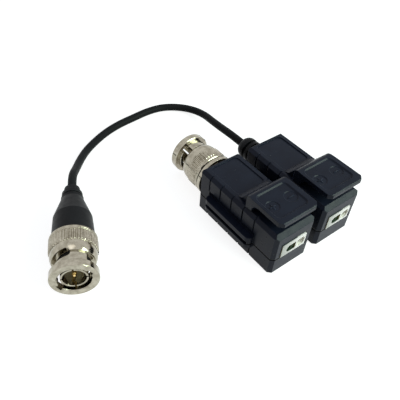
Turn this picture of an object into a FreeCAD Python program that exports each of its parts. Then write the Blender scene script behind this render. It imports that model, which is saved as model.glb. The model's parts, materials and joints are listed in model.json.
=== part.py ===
"""Two press-terminal video baluns, joined side by side by their sliding rails.

The near unit has a rigid bayonet connector on its rear face. The far unit has a short cable that ends
in a bayonet plug. Millimetres. Wire terminals face -Y, connectors face +Y, +Z is up. The origin is at
the middle of the two units' bottom, with the cable and its plug left out.
"""
import FreeCAD, Part
import math
import os

import Sketcher
from FreeCAD import Placement, Rotation, Vector

SIZES = [
    # housing
    ("unit_pitch", 20.3),
    ("housing_width", 16.4),
    ("housing_length", 36.0),
    ("housing_height", 17.0),
    ("parting_height", 6.5),
    ("side_wall", 1.25),
    ("top_wall", 1.4),
    ("floor_wall", 1.3),
    ("corner_chamfer", 1.1),
    ("rear_corner_chamfer", 0.25),
    ("side_chamfer", 1.1),
    ("front_chamfer", 1.5),
    ("rear_chamfer", 0.4),
    ("bottom_chamfer", 0.2),
    ("lip_thickness", 0.5),
    ("lip_height", 0.8),
    ("lip_play", 0.08),
    # label recess and grip grooves
    ("label_margin", 2.5),
    ("label_rear_margin", 1.1),
    ("label_length", 14.75),
    ("label_depth", 0.35),
    ("label_corner", 1.6),
    ("grip_first", 9.9),
    ("grip_spacing", 5.35),
    ("grip_width", 0.55),
    ("grip_depth", 0.4),
    ("grip_bottom", 11.2),
    ("grip_lower_top", 4.0),
    ("side_recess_depth", 0.5),
    # sliding rail: channel on the left wall, tee on the right wall
    ("rail_front", 9.0),
    ("rail_length", 22.2),
    ("rail_reach", 2.2),
    ("rail_bottom", 4.7),
    ("rail_top", 9.3),
    ("rail_plate", 0.7),
    ("rail_lip", 0.8),
    ("slot_bottom", 6.0),
    ("slot_top", 7.6),
    ("rail_stop", 0.9),
    ("rail_corner", 1.8),
    ("tee_stem", 1.0),
    ("tee_head_height", 2.3),
    ("tee_head_thickness", 1.1),
    ("tee_play", 0.15),
    # terminal block
    ("terminal_width", 10.4),
    ("terminal_bottom", 6.6),
    ("terminal_height", 5.45),
    ("terminal_stand_out", 0.25),
    ("terminal_play", 0.08),
    ("terminal_depth", 11.5),
    ("terminal_top", 13.2),
    ("terminal_body_width", 12.4),
    ("terminal_corner", 0.8),
    ("plus_pole", -1.6),
    ("minus_pole", 3.2),
    ("wire_height", 8.95),
    ("wire_hole_radius", 1.35),
    ("lead_in_depth", 0.6),
    ("lead_in_margin", 0.3),
    ("lead_in_round", 0.1),
    ("lead_in_corner", 1.1),
    ("lead_in_side", 0.45),
    ("divider_place", 1.15),
    ("divider_width", 0.6),
    ("chamber_width", 2.8),
    ("chamber_front", 2.4),
    ("chamber_rear", 10.6),
    ("chamber_floor", 6.6),
    # clamp strips and contacts
    ("strip_width", 2.0),
    ("strip_thickness", 0.35),
    ("strip_bend", 1.5),
    ("clamp_top", 12.3),
    ("contact_thickness", 0.5),
    ("contact_foot", 1.2),
    # press lever
    ("pad_width", 15.4),
    ("pad_front", 0.2),
    ("pad_rear", 14.8),
    ("pad_top", 22.4),
    ("pad_thickness", 1.6),
    ("pad_corner", 1.3),
    ("pad_recess_margin", 1.7),
    ("pad_recess_front", 2.2),
    ("pad_recess_depth", 0.45),
    ("pad_recess_corner", 1.7),
    ("mark_spacing", 7.5),
    ("mark_place", 7.6),
    ("mark_radius", 2.3),
    ("mark_depth", 0.25),
    ("ramp_foot", 18.3),
    ("heel_rear", 20.0),
    ("heel_width", 14.1),
    ("crest_radius", 2.0),
    ("heel_gap", 0.14),
    ("neck_front", 12.4),
    ("neck_rise", 0.8),
    ("cove_radius", 2.6),
    ("pivot_place", 16.0),
    ("pivot_height", 15.2),
    ("trunnion_radius", 1.0),
    ("trunnion_play", 0.05),
    ("ear_spacing", 8.4),
    ("ear_thickness", 1.6),
    ("ear_length", 2.2),
    ("ear_play", 0.5),
    ("plunger_width", 1.8),
    ("plunger_length", 2.0),
    ("plunger_place", 7.7),
    ("plunger_gap", 0.2),
    ("window_play", 0.9),
    ("bearing_depth", 2.2),
    ("bearing_gap", 0.2),
    ("bearing_side_gap", 0.3),
    # circuit board and its parts
    ("board_height", 4.0),
    ("board_thickness", 1.0),
    ("board_width", 12.8),
    ("board_gap", 0.15),
    ("board_rear_gap", 5.45),
    ("ledge_width", 1.8),
    ("core_place", 21.6),
    ("core_outer_radius", 3.6),
    ("core_inner_radius", 1.9),
    ("core_height", 3.0),
    ("winding_thickness", 0.4),
    ("core_seat_play", 0.05),
    ("chip_width", 2.6),
    ("chip_length", 1.6),
    ("chip_height", 1.1),
    ("lead_radius", 0.3),
    ("lead_foot_margin", 1.1),
    ("lead_bend", 0.8),
    # bayonet connector, depths measured back from the front of the coupling nut
    ("axis_height", 8.5),
    ("connector_reach", 18.5),
    ("ring_radius", 7.25),
    ("ring_length", 2.3),
    ("neck_radius", 5.95),
    ("neck_end", 6.8),
    ("shoulder_radius", 7.05),
    ("shoulder_end", 9.2),
    ("knurl_radius", 7.45),
    ("knurl_depth", 0.3),
    ("knurl_end", 14.0),
    ("nut_length", 14.9),
    ("nut_rim_radius", 7.0),
    ("nut_bore", 4.95),
    ("chamber_radius", 6.1),
    ("chamber_depth", 9.6),
    ("nut_flange_depth", 13.0),
    ("barrel_radius", 4.6),
    ("barrel_play", 0.08),
    ("thrust_depth", 10.5),
    ("thrust_thickness", 0.9),
    ("thrust_radius", 5.9),
    ("washer_thickness", 0.3),
    ("washer_dish", 0.9),
    ("sleeve_front", 0.8),
    ("sleeve_outer", 4.05),
    ("sleeve_inner", 3.5),
    ("sleeve_slit", 0.5),
    ("sleeve_slit_end", 5.6),
    ("socket_depth", 6.2),
    ("gasket_front", 6.6),
    ("gasket_end", 7.4),
    ("pin_radius", 0.675),
    ("pin_front", 1.6),
    ("pin_tail_radius", 1.0),
    ("insulator_end", 23.5),
    ("insulator_radius", 3.3),
    ("entry_width", 2.3),
    ("entry_radius", 6.25),
    ("cam_width", 2.1),
    ("cam_start", 3.4),
    ("cam_rise", 2.1),
    ("cam_pitch", 9.5),
    # near unit's connector behind the nut
    ("collar_groove_radius", 5.9),
    ("collar_radius", 7.6),
    ("collar_thickness", 2.6),
    ("shank_radius", 4.75),
    ("shank_hole_play", 0.1),
    ("shank_length", 5.5),
    ("lock_nut_flats", 12.0),
    ("lock_nut_thickness", 2.0),
    # plug on the cable
    ("boot_radius", 6.7),
    ("boot_rear_radius", 6.2),
    ("boot_straight_end", 23.6),
    ("boot_cone_end", 31.6),
    ("boot_cone_radius", 3.7),
    ("boot_end", 37.2),
    ("boot_tail_radius", 2.6),
    ("crimp_radius", 3.9),
    ("crimp_end", 24.6),
    ("plug_front_x", -70.8),
    ("plug_front_y", 0.06),
    ("plug_turn", 154.25),
    # strain relief and cord
    ("cord_diameter", 3.0),
    ("cord_first_run", 6.0),
    ("cord_last_run", 6.6),
    ("gland_neck_radius", 2.5),
    ("gland_flange_radius", 4.0),
    ("gland_flange", 1.6),
    ("gland_height", 8.0),
    ("gland_ring_radius", 4.0),
    ("gland_ring", 1.2),
    ("gland_ring_pitch", 2.28),
    ("gland_groove_radius", 2.9),
    ("gland_dome_radius", 3.2),
    ("gland_tail_radius", 1.8),
    ("gland_reach", 10.7),
    ("moulding_play", 0.05),
]

GRIP_COUNT = 5
GLAND_RINGS = 4
KNURL_COUNT = 36
CAM_COUNT = 2
SLIT_COUNT = 4

# The cord's middle line as x, y, z, between its straight ends at the gland and the boot.
CORD_MIDDLE = [
    (10.26, 33.6, 6.47),
    (11.37, 40.48, 5.03),
    (12.79, 47.32, 3.41),
    (11.98, 54.16, 2.27),
    (8.32, 60.03, 1.63),
    (2.47, 63.8, 1.5),
    (-4.55, 64.73, 1.5),
    (-11.63, 64.08, 1.5),
    (-18.7, 63.51, 1.5),
    (-25.6, 61.93, 1.5),
    (-32.15, 59.23, 1.5),
    (-38.27, 55.71, 1.69),
    (-43.27, 50.83, 2.79),
    (-47.54, 45.41, 4.51),
]


class Size:
    """A number together with the formula that the document keeps for it."""

    def __init__(self, value, formula):
        self.value = value
        self.formula = formula

    def join(self, other, sign, value):
        return Size(value, "(%s %s %s)" % (self.formula, sign, formula_of(other)))

    def __add__(self, other):
        return self.join(other, "+", self.value + value_of(other))

    def __sub__(self, other):
        return self.join(other, "-", self.value - value_of(other))

    def __mul__(self, other):
        return self.join(other, "*", self.value * value_of(other))

    def __truediv__(self, other):
        return self.join(other, "/", self.value / value_of(other))

    def __neg__(self):
        return Size(-self.value, "(0 - %s)" % self.formula)


def value_of(size):
    return size.value if isinstance(size, Size) else float(size)


def formula_of(size):
    return size.formula if isinstance(size, Size) else repr(float(size))


class Table:
    """The driving sizes by name."""


def fill_sheet(doc):
    """Write the driving sizes to the document's spreadsheet."""
    sheet = doc.addObject("Spreadsheet::Sheet", "sizes")
    table = Table()
    for row, (name, value) in enumerate(SIZES, start=1):
        sheet.set("A%d" % row, name)
        sheet.set("B%d" % row, str(value))
        sheet.setAlias("B%d" % row, name)
        setattr(table, name, Size(value, "sizes." + name))
    doc.recompute()
    return table


doc = FreeCAD.newDocument("video_balun")
s = fill_sheet(doc)
SUBPARTS = []


# Helpers that bind geometry to the sheet

def bind(item, path, size):
    item.setExpression(path, formula_of(size))


def new_body(label, place=(0, 0, 0), turn=None):
    """A body whose place, and turn about Z, follow the sheet."""
    body = doc.addObject("PartDesign::Body", label)
    body.Label = label
    angle = 0 if turn is None else turn.value
    start = Vector(*[value_of(part) for part in place])
    body.Placement = Placement(start, Rotation(Vector(0, 0, 1), angle))
    for axis, part in zip("xyz", place):
        bind(body, "Placement.Base." + axis, part)
    if turn is not None:
        bind(body, "Placement.Rotation.Angle", turn)
    SUBPARTS.append(body)
    return body


def origin_item(body, role):
    return [item for item in body.Origin.OriginFeatures if item.Role == role][0]


def new_sketch(body, plane, name, offset=0):
    """A sketch on one of the body's own origin planes, moved along its normal."""
    sketch = body.newObject("Sketcher::SketchObject", name)
    sketch.AttachmentSupport = [(origin_item(body, plane + "_Plane"), "")]
    sketch.MapMode = "FlatFace"
    bind(sketch, "AttachmentOffset.Base.z", offset)
    return sketch


def pin_down(sketch, geometry, end, point):
    """Tie one end of a line or arc, or a centre, to its place."""
    for kind, size in zip(("DistanceX", "DistanceY"), point):
        index = sketch.addConstraint(
            Sketcher.Constraint(kind, -1, 1, geometry, end, value_of(size)))
        bind(sketch, "Constraints[%d]" % index, size)


def arc_between(start, finish, radius, side):
    """An arc from start to finish. Side is 1 where it turns left, -1 where it turns right."""
    chord = finish - start
    half = chord.Length / 2
    rise = math.sqrt(max(radius * radius - half * half, 0))
    across = Vector(-chord.y, chord.x, 0).normalize()
    centre = (start + finish) / 2 + across * rise * side
    begin = math.atan2(start.y - centre.y, start.x - centre.x)
    stop = math.atan2(finish.y - centre.y, finish.x - centre.x)
    circle = Part.Circle(centre, Vector(0, 0, 1), radius)
    if side > 0:
        return Part.ArcOfCircle(circle, begin, stop)
    return Part.ArcOfCircle(circle, stop, begin)


def draw(sketch, points, arcs=None, closed=True):
    """Lines through the points. Arcs maps a segment's number to its radius and side."""
    arcs = arcs or {}
    count = len(points)
    segments = count if closed else count - 1
    spots = [Vector(value_of(x), value_of(y), 0) for x, y in points]
    ends = []
    for number in range(segments):
        start = spots[number]
        finish = spots[(number + 1) % count]
        if number in arcs:
            radius, side = arcs[number]
            shape = arc_between(start, finish, value_of(radius), side)
            ends.append((1, 2) if side > 0 else (2, 1))
        else:
            shape = Part.LineSegment(start, finish)
            ends.append((1, 2))
        ends[-1] = (sketch.addGeometry(shape, False),) + ends[-1]
    for number in range(segments):
        geometry, first, last = ends[number]
        pin_down(sketch, geometry, first, points[number])
        if number + 1 < segments or closed:
            following = ends[(number + 1) % segments]
            sketch.addConstraint(
                Sketcher.Constraint("Coincident", geometry, last, following[0], following[1]))
        else:
            pin_down(sketch, geometry, last, points[-1])
    for number, (radius, side) in arcs.items():
        index = sketch.addConstraint(
            Sketcher.Constraint("Radius", ends[number][0], value_of(radius)))
        bind(sketch, "Constraints[%d]" % index, radius)


def draw_rectangle(sketch, left, right, low, high):
    draw(sketch, [(left, low), (right, low), (right, high), (left, high)])


def draw_rounded(sketch, left, right, low, high, radius):
    """A rectangle with four round corners."""
    points = [(left + radius, low), (right - radius, low), (right, low + radius),
              (right, high - radius), (right - radius, high), (left + radius, high),
              (left, high - radius), (left, low + radius)]
    draw(sketch, points, {corner: (radius, 1) for corner in (1, 3, 5, 7)})


def draw_circle(sketch, x, y, radius):
    centre = Vector(value_of(x), value_of(y), 0)
    geometry = sketch.addGeometry(Part.Circle(centre, Vector(0, 0, 1), value_of(radius)), False)
    pin_down(sketch, geometry, 3, (x, y))
    index = sketch.addConstraint(Sketcher.Constraint("Radius", geometry, value_of(radius)))
    bind(sketch, "Constraints[%d]" % index, radius)


def extrude(body, kind, sketch, name, length, both_ways=False, backwards=False):
    """A pad or a pocket of the sketch."""
    feature = body.newObject("PartDesign::" + kind, name)
    feature.Profile = sketch
    bind(feature, "Length", length)
    feature.Midplane = both_ways
    feature.Reversed = backwards
    return feature


def spin(body, kind, sketch, name):
    """A full turn about the sketch's vertical axis."""
    feature = body.newObject("PartDesign::" + kind, name)
    feature.Profile = sketch
    feature.ReferenceAxis = (sketch, ["V_Axis"])
    feature.Angle = 360
    return feature


def box(body, kind, name, x_span, y_span, z_span):
    """An additive or subtractive block between the given limits."""
    feature = body.newObject("PartDesign::%sBox" % kind, name)
    feature.AttachmentSupport = [(origin_item(body, "XY_Plane"), "")]
    feature.MapMode = "FlatFace"
    for prop, axis, span in zip(("Length", "Width", "Height"), "xyz", (x_span, y_span, z_span)):
        low, high = span
        bind(feature, prop, high - low)
        bind(feature, "AttachmentOffset.Base." + axis, low)
    return feature


def rod(body, kind, name, plane, centre, radius, low, length):
    """A cylinder across one of the origin planes. Low is measured along that plane's normal."""
    feature = body.newObject("PartDesign::%sCylinder" % kind, name)
    feature.AttachmentSupport = [(origin_item(body, plane + "_Plane"), "")]
    feature.MapMode = "FlatFace"
    bind(feature, "Radius", radius)
    bind(feature, "Height", length)
    for axis, part in zip("xyz", (centre[0], centre[1], low)):
        bind(feature, "AttachmentOffset.Base." + axis, part)
    return feature


def pattern_line(body, features, name, role, step, count):
    """Copies of the features along an origin axis."""
    pattern = body.newObject("PartDesign::LinearPattern", name)
    pattern.Originals = features
    pattern.Direction = (origin_item(body, role), [""])
    bind(pattern, "Length", step * (count - 1))
    pattern.Occurrences = count
    body.Tip = pattern
    return pattern


def pattern_round(body, features, name, count):
    """Copies of the features about the body's Y axis."""
    pattern = body.newObject("PartDesign::PolarPattern", name)
    pattern.Originals = features
    pattern.Axis = (origin_item(body, "Y_Axis"), [""])
    pattern.Angle = 360
    pattern.Occurrences = count
    body.Tip = pattern
    return pattern


def dress(body, kind, name, size, chosen):
    """A fillet or chamfer on the edges that the given test picks."""
    doc.recompute()
    base = body.Tip
    names = ["Edge%d" % number for number, edge in enumerate(base.Shape.Edges, start=1)
             if chosen(edge)]
    feature = body.newObject("PartDesign::" + kind, name)
    feature.Base = (base, names)
    bind(feature, "Radius" if kind == "Fillet" else "Size", size)
    return feature


def stands_upright(edge):
    low, high = edge.BoundBox.ZMin, edge.BoundBox.ZMax
    return edge.BoundBox.XLength < 0.01 and edge.BoundBox.YLength < 0.01 and high - low > 0.5


# Sizes worked out from the driving ones

half_width = s.housing_width / 2
inner_half = half_width - s.side_wall
inner_rear = s.housing_length - s.side_wall
ceiling = s.housing_height - s.top_wall
slot_middle = (s.slot_bottom + s.slot_top) / 2
rail_rear = s.rail_front + s.rail_length
tee_reach = s.unit_pitch - s.housing_width - s.tee_play
board_top = s.board_height + s.board_thickness
board_front = s.side_wall + s.terminal_depth + s.board_gap
board_rear = inner_rear - s.board_rear_gap
axis_tip = s.housing_length + s.connector_reach
shank_hole = s.shank_radius + s.shank_hole_play
gland_hole = s.gland_neck_radius + s.moulding_play
nut_flange_hole = s.barrel_radius + s.barrel_play
POLES = (("positive", s.plus_pole), ("negative", s.minus_pole))

# The middle of the pair's own box, which is where the origin stands
pair_shift_x = (tee_reach - s.rail_reach) / 2
pair_shift_y = (axis_tip - s.terminal_stand_out) / 2
UNITS = (("near", -(s.unit_pitch / 2) - pair_shift_x), ("far", s.unit_pitch / 2 - pair_shift_x))


def unit_place(unit_x, lift=0):
    return (unit_x, -pair_shift_y, lift)


# Housing shells

def rail_flange(body, low, high):
    """The channel's outline on the left wall, with round outer corners."""
    sketch = new_sketch(body, "XY", "rail_outline", low)
    outer = -half_width - s.rail_reach
    draw(sketch,
         [(-half_width + s.side_wall / 2, s.rail_front), (outer + s.rail_corner, s.rail_front),
          (outer, s.rail_front + s.rail_corner), (outer, rail_rear - s.rail_corner),
          (outer + s.rail_corner, rail_rear), (-half_width + s.side_wall / 2, rail_rear)],
         {1: (s.rail_corner, -1), 3: (s.rail_corner, -1)})
    extrude(body, "Pad", sketch, "rail", high - low)


def rail_channel(body, lip_span, room_span):
    """The slot between the lips and the wider room behind them, open at the rear."""
    outer = -half_width - s.rail_reach
    along = (s.rail_front + s.rail_stop, s.housing_length)
    box(body, "Subtractive", "rail_slot", (outer - 1, -half_width), along, lip_span)
    box(body, "Subtractive", "rail_room", (outer + s.rail_lip, -half_width), along, room_span)


def grip_grooves(body, low, high, chamfer):
    """Narrow upright grooves in both sides, which follow the top chamfer where there is one."""
    grooves = []
    for name, side in (("left", -1), ("right", 1)):
        sketch = new_sketch(body, "XZ", "grip_outline_" + name, -s.grip_first)
        floor_x = (half_width - s.grip_depth) * side
        bend_x = floor_x - chamfer * side
        far_x = (half_width + 1) * side
        bend = high - chamfer
        draw(sketch, [(floor_x, low), (floor_x, bend), (bend_x, high), (bend_x, high + 1),
                      (far_x, high + 1), (far_x, low)])
        grooves.append(extrude(body, "Pocket", sketch, "grip_" + name, s.grip_width, True))
    pattern_line(body, grooves, "grips", "Y_Axis", s.grip_spacing, GRIP_COUNT)


def shell_block(body, low, high):
    """The plain outside of one shell. Its front corners are cut off, and its rear ones are eased."""
    sketch = new_sketch(body, "XY", "plan", low)
    draw_rectangle(sketch, -half_width, half_width, Size(0, "0"), s.housing_length)
    extrude(body, "Pad", sketch, "block", high - low)
    dress(body, "Chamfer", "front_corners", s.corner_chamfer,
          lambda edge: stands_upright(edge) and edge.BoundBox.YMax < 0.01)
    dress(body, "Chamfer", "rear_corners", s.rear_corner_chamfer,
          lambda edge: stands_upright(edge) and edge.BoundBox.YMin > value_of(s.housing_length) - 0.01)


def terminal_opening(body, low, high):
    half = s.terminal_width / 2
    box(body, "Subtractive", "terminal_opening", (-half, half), (Size(-1, "-1"), s.side_wall + 1),
        (low, high))


def rear_opening(body, unit):
    radius = shank_hole if unit == "near" else gland_hole
    height = s.axis_height if unit == "near" else s.gland_height
    rod(body, "Subtractive", "rear_opening", "XZ", (0, height), radius,
        -s.housing_length - 1, s.side_wall + 2)


def upper_housing(unit, unit_x):
    body = new_body(unit + "_upper_housing", unit_place(unit_x))
    top = s.housing_height
    shell_block(body, s.parting_height, top)

    sketch = new_sketch(body, "XZ", "side_chamfer_outline")
    for side in (-1, 1):
        edge = half_width * side
        draw(sketch, [(edge - s.side_chamfer * side, top), (edge, top - s.side_chamfer),
                      (edge + side, top - s.side_chamfer), (edge + side, top + 1),
                      (edge - s.side_chamfer * side, top + 1)])
    extrude(body, "Pocket", sketch, "side_chamfers", s.housing_length * 3, True)

    sketch = new_sketch(body, "YZ", "end_chamfer_outline")
    for edge, out, size in ((Size(0, "0"), -1, s.front_chamfer), (s.housing_length, 1, s.rear_chamfer)):
        draw(sketch, [(edge - size * out, top), (edge, top - size), (edge + out, top - size),
                      (edge + out, top + 1), (edge - size * out, top + 1)])
    extrude(body, "Pocket", sketch, "end_chamfers", s.housing_width * 2, True)

    box(body, "Subtractive", "hollow", (-inner_half, inner_half), (s.side_wall, inner_rear),
        (s.parting_height, ceiling))
    rebate = inner_half + s.lip_thickness + s.lip_play
    reach = s.side_wall - s.lip_thickness - s.lip_play
    box(body, "Subtractive", "lip_rebate", (-rebate, rebate), (reach, s.housing_length - reach),
        (s.parting_height, s.parting_height + s.lip_height + s.lip_play))
    terminal_opening(body, s.parting_height, s.terminal_bottom + s.terminal_height + s.terminal_play)
    rear_opening(body, unit)

    lever_openings(body)
    lever_bearings(body)

    sketch = new_sketch(body, "XY", "label_outline", top)
    label_half = half_width - s.label_margin
    label_rear = s.housing_length - s.label_rear_margin
    draw_rounded(sketch, -label_half, label_half, label_rear - s.label_length, label_rear,
                 s.label_corner)
    extrude(body, "Pocket", sketch, "label_recess", s.label_depth * 2, True)

    box(body, "Subtractive", "side_recess", (-half_width - 1, -half_width + s.side_recess_depth),
        (s.rail_front, rail_rear), (s.rail_top, s.grip_bottom))
    rail_flange(body, s.parting_height, s.rail_top)
    rail_channel(body, (s.parting_height, s.slot_top), (s.parting_height, s.rail_top - s.rail_plate))
    tee_rail(body)
    grip_grooves(body, s.grip_bottom, top, s.side_chamfer)


def lever_openings(body):
    """Openings in the roof for the lever's two ears and its two plungers."""
    roof = (ceiling - 1, s.housing_height + 1)
    ear_out = s.ear_spacing / 2 + s.ear_thickness / 2 + s.bearing_side_gap
    ear_in = s.ear_spacing / 2 - s.ear_thickness / 2 - s.bearing_side_gap
    along = (s.pivot_place - s.ear_length / 2 - s.ear_play, s.pivot_place + s.ear_length / 2 + s.ear_play)
    box(body, "Subtractive", "ear_slot_left", (-ear_out, -ear_in), along, roof)
    box(body, "Subtractive", "ear_slot_right", (ear_in, ear_out), along, roof)
    margin = s.plunger_width / 2 + s.window_play
    box(body, "Subtractive", "plunger_window", (s.plus_pole - margin, s.minus_pole + margin),
        (s.plunger_place - s.plunger_length / 2 - s.window_play,
         s.plunger_place + s.plunger_length / 2 + s.window_play), roof)


def lever_bearings(body):
    """Two blocks under the roof, bored for the lever's trunnions."""
    inside = s.ear_spacing / 2 + s.ear_thickness / 2 + s.bearing_side_gap
    along = (s.pivot_place - s.bearing_depth, s.pivot_place + s.bearing_depth)
    deep = (s.terminal_top + s.bearing_gap, ceiling + s.top_wall / 2)
    box(body, "Additive", "bearing_left", (-inner_half - s.side_wall / 2, -inside), along, deep)
    box(body, "Additive", "bearing_right", (inside, inner_half + s.side_wall / 2), along, deep)
    rod(body, "Subtractive", "bearing_bore", "YZ", (s.pivot_place, s.pivot_height),
        s.trunnion_radius + s.trunnion_play, -inner_half, inner_half * 2)


def tee_rail(body):
    """The tee on the right wall, which slides into the next unit's channel from its rear."""
    along = (s.rail_front + s.rail_stop + s.tee_play, rail_rear - s.tee_play)
    head_in = half_width + tee_reach - s.tee_head_thickness
    box(body, "Additive", "tee_stem", (half_width - s.tee_play, head_in), along,
        (s.parting_height, slot_middle + s.tee_stem / 2))
    box(body, "Additive", "tee_head", (head_in, half_width + tee_reach), along,
        (slot_middle - s.tee_head_height / 2, slot_middle + s.tee_head_height / 2))


def lower_housing(unit, unit_x):
    body = new_body(unit + "_lower_housing", unit_place(unit_x))
    shell_block(body, Size(0, "0"), s.parting_height)
    dress(body, "Chamfer", "bottom_edge", s.bottom_chamfer, lambda edge: edge.BoundBox.ZMax < 0.001)
    box(body, "Subtractive", "hollow", (-inner_half, inner_half), (s.side_wall, inner_rear),
        (s.floor_wall, s.parting_height + 1))

    sketch = new_sketch(body, "XY", "lip_outline", s.parting_height - s.lip_height)
    outer = inner_half + s.lip_thickness
    reach = s.side_wall - s.lip_thickness
    draw_rectangle(sketch, -outer, outer, reach, s.housing_length - reach)
    draw_rectangle(sketch, -inner_half, inner_half, s.side_wall, inner_rear)
    extrude(body, "Pad", sketch, "locating_lip", s.lip_height * 2)

    terminal_opening(body, s.terminal_bottom - s.terminal_play, s.parting_height + s.lip_height * 2)
    rear_opening(body, unit)

    for name, side in (("left", -1), ("right", 1)):
        limits = sorted(((inner_half + s.side_wall / 2) * side, (inner_half - s.ledge_width) * side),
                        key=value_of)
        box(body, "Additive", "ledge_" + name, limits, (board_front, board_rear),
            (s.floor_wall - s.floor_wall / 2, s.board_height))

    rail_flange(body, s.rail_bottom, s.parting_height)
    rail_channel(body, (s.slot_bottom, s.parting_height),
                 (s.rail_bottom + s.rail_plate, s.parting_height))
    lower_grips(body)


def lower_grips(body):
    grooves = []
    for name, side in (("left", -1), ("right", 1)):
        limits = sorted(((half_width - s.grip_depth) * side, (half_width + 1) * side), key=value_of)
        grooves.append(box(body, "Subtractive", "grip_" + name, limits,
                           (s.grip_first - s.grip_width / 2, s.grip_first + s.grip_width / 2),
                           (Size(-1, "-1"), s.grip_lower_top)))
    pattern_line(body, grooves, "grips", "Y_Axis", s.grip_spacing, GRIP_COUNT)


# Press lever

def is_crest(limits):
    """True for the edge across the lever where the pad's top turns down into the ramp."""
    place, height = value_of(s.pad_rear), value_of(s.pad_top)
    return (abs(limits.YMin - place) + abs(limits.YMax - place) < 0.01
            and abs(limits.ZMin - height) < 0.01)


def press_lever(unit, unit_x):
    body = new_body(unit + "_press_lever", unit_place(unit_x))
    under = s.pad_top - s.pad_thickness
    seat = s.housing_height + s.heel_gap
    cove_top = s.neck_front - s.cove_radius
    sketch = new_sketch(body, "YZ", "side_outline")
    ramp_radius = s.cove_radius
    points = [(s.pad_front, under), (s.pad_front, s.pad_top), (s.pad_rear, s.pad_top),
              (s.ramp_foot, s.housing_height + s.neck_rise), (s.heel_rear, seat),
              (s.pivot_place, seat), (s.neck_front, seat + s.neck_rise),
              (s.neck_front, under - s.cove_radius), (cove_top, under)]
    draw(sketch, points, {3: (ramp_radius, 1), 7: (s.cove_radius, 1)})
    extrude(body, "Pad", sketch, "lever", s.pad_width, True)
    dress(body, "Chamfer", "front_corners", s.pad_corner,
          lambda edge: stands_upright(edge) and edge.BoundBox.YMax < value_of(s.pad_front) + 0.01)

    dress(body, "Fillet", "ramp_crest", s.crest_radius, lambda edge: is_crest(edge.BoundBox))
    sketch = new_sketch(body, "XY", "heel_taper_outline", s.housing_height)
    for side in (-1, 1):
        wide = s.pad_width / 2 * side
        narrow = s.heel_width / 2 * side
        draw(sketch, [(wide, s.neck_front), (narrow, s.heel_rear), (narrow, s.heel_rear + 1),
                      (wide + side, s.heel_rear + 1), (wide + side, s.neck_front)])
    extrude(body, "Pocket", sketch, "heel_tapers", s.pad_top, True)

    half = s.pad_width / 2 - s.pad_recess_margin
    sketch = new_sketch(body, "XY", "pad_recess_outline", s.pad_top)
    draw_rounded(sketch, -half, half, s.pad_front + s.pad_recess_front,
                 s.pad_rear - s.pad_recess_margin, s.pad_recess_corner)
    extrude(body, "Pocket", sketch, "pad_recess", s.pad_recess_depth * 2, True)
    sketch = new_sketch(body, "XY", "mark_outline", s.pad_top - s.pad_recess_depth)
    for side in (-1, 1):
        draw_circle(sketch, s.mark_spacing / 2 * side, s.mark_place, s.mark_radius)
    extrude(body, "Pocket", sketch, "mark_discs", s.mark_depth * 2, True)

    along = (s.pivot_place - s.ear_length / 2, s.pivot_place + s.ear_length / 2)
    for name, side in (("left", -1), ("right", 1)):
        limits = sorted((s.ear_spacing / 2 * side - s.ear_thickness / 2,
                         s.ear_spacing / 2 * side + s.ear_thickness / 2), key=value_of)
        box(body, "Additive", "ear_" + name, limits, along,
            (s.pivot_height - s.trunnion_radius, seat + s.heel_gap))
    trunnion_end = inner_half - s.bearing_side_gap
    ear_middle = s.ear_spacing / 2
    rod(body, "Additive", "trunnion_right", "YZ", (s.pivot_place, s.pivot_height),
        s.trunnion_radius, ear_middle, trunnion_end - ear_middle)
    rod(body, "Additive", "trunnion_left", "YZ", (s.pivot_place, s.pivot_height),
        s.trunnion_radius, -trunnion_end, trunnion_end - ear_middle)
    for name, pole in POLES:
        box(body, "Additive", name + "_plunger",
            (pole - s.plunger_width / 2, pole + s.plunger_width / 2),
            (s.plunger_place - s.plunger_length / 2, s.plunger_place + s.plunger_length / 2),
            (s.clamp_top + s.plunger_gap, under + s.pad_thickness / 2))


# Terminal block, clamps and contacts

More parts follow.
